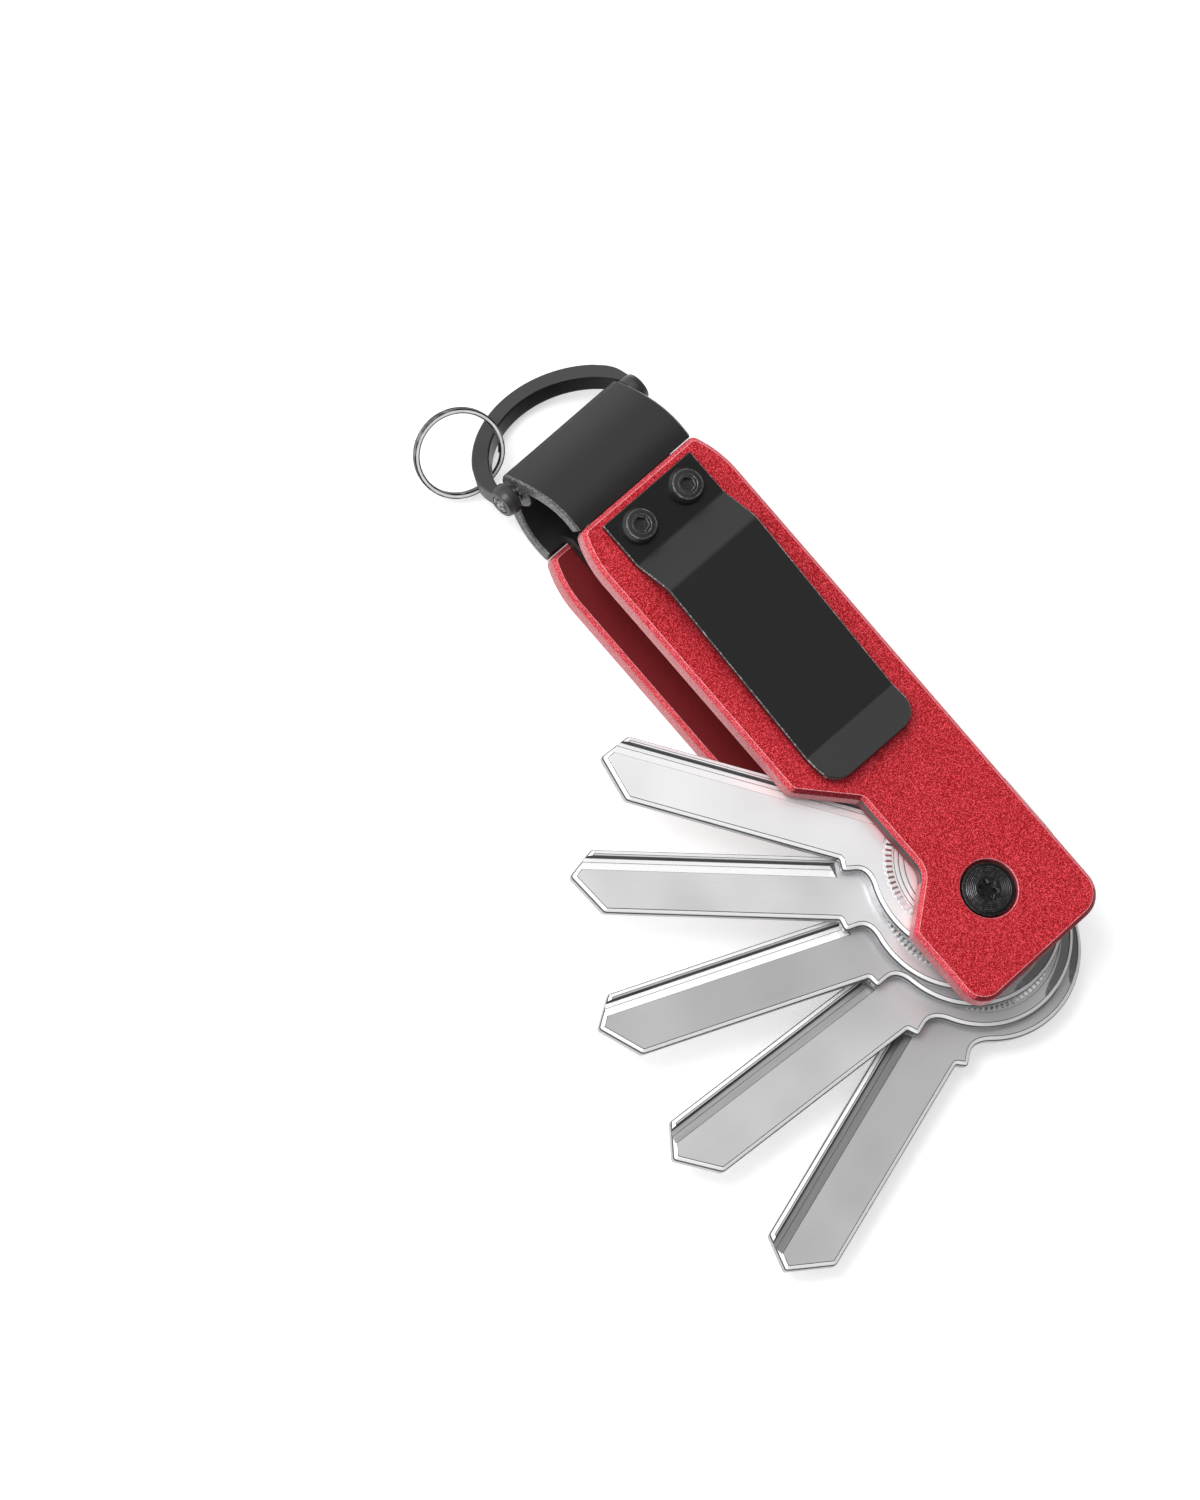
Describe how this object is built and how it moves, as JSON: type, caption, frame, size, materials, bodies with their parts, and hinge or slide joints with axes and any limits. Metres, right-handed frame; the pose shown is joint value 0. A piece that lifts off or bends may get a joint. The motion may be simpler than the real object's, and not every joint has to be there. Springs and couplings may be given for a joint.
{
  "type": "key organiser",
  "caption": "Pocket key organiser: flat keys fan out on one pivot between two side plates, with a pocket clip and a strap bracket that carries a swinging D-ring and a split ring.",
  "frame": {"origin": "middle of the back plate's outer face, on which the organiser lies", "axes": "+Z out of the front plate, +Y from the pivot to the D-ring end, +X to the right seen from the front"},
  "size_m": [0.0657, 0.1135, 0.0209],
  "materials": {
    "red_plate": "bead-blasted and anodised red, fine sparkle",
    "clip_steel": "satin black coated spring steel",
    "black_screw": "black oxide, semi-gloss",
    "bracket_grey": "dark grey satin coating",
    "ring_black": "dark satin coating",
    "bright_steel": "plain turned steel",
    "key_nickel": "nickel-plated key blank, fine rolled grain",
    "split_ring_steel": "bright nickel plating"
  },
  "bodies": {
    "frame": {"front_plate": "red_plate", "back_plate": "red_plate", "pocket_clip": "clip_steel", "clip_screws": "black_screw", "rear_screws": "black_screw", "spacer_posts": "bright_steel", "loop_bracket": "bracket_grey", "pivot_post": "black_screw", "pivot_screw": "black_screw", "shim_washer_1": "bright_steel", "shim_washer_2": "bright_steel", "shim_washer_3": "bright_steel", "shim_washer_4": "bright_steel", "shim_washer_5": "bright_steel", "shim_washer_6": "bright_steel"},
    "d_ring": {"d_ring": "ring_black", "ring_pin": "bright_steel"},
    "split_ring": {"split_ring": "split_ring_steel"},
    "key_1": {"key_1": "key_nickel"},
    "key_2": {"key_2": "key_nickel"},
    "key_3": {"key_3": "key_nickel"},
    "key_4": {"key_4": "key_nickel"},
    "key_5": {"key_5": "key_nickel"}
  },
  "joints": [
    {"name": "key_1_turn", "type": "hinge", "parent": "frame", "child": "key_1", "pos_m": [0, -0.02805, 0.0086], "axis": [0, 0, 1], "continuous": true},
    {"name": "key_2_turn", "type": "hinge", "parent": "frame", "child": "key_2", "pos_m": [0, -0.02805, 0.0086], "axis": [0, 0, 1], "continuous": true},
    {"name": "key_3_turn", "type": "hinge", "parent": "frame", "child": "key_3", "pos_m": [0, -0.02805, 0.0086], "axis": [0, 0, 1], "continuous": true},
    {"name": "key_4_turn", "type": "hinge", "parent": "frame", "child": "key_4", "pos_m": [0, -0.02805, 0.0086], "axis": [0, 0, 1], "continuous": true},
    {"name": "key_5_turn", "type": "hinge", "parent": "frame", "child": "key_5", "pos_m": [0, -0.02805, 0.0086], "axis": [0, 0, 1], "continuous": true},
    {"name": "d_ring_swing", "type": "hinge", "parent": "frame", "child": "d_ring", "pos_m": [0, 0.04835, 0.0086], "axis": [1, 0, 0], "range_deg": [-14, 92]},
    {"name": "split_ring_swing", "type": "hinge", "parent": "d_ring", "child": "split_ring", "pos_m": [-0.00909, 0.0549, 0.00357], "axis": [0.5525, 0.6057, -0.5726], "range_deg": [-90, 90]}
  ]
}
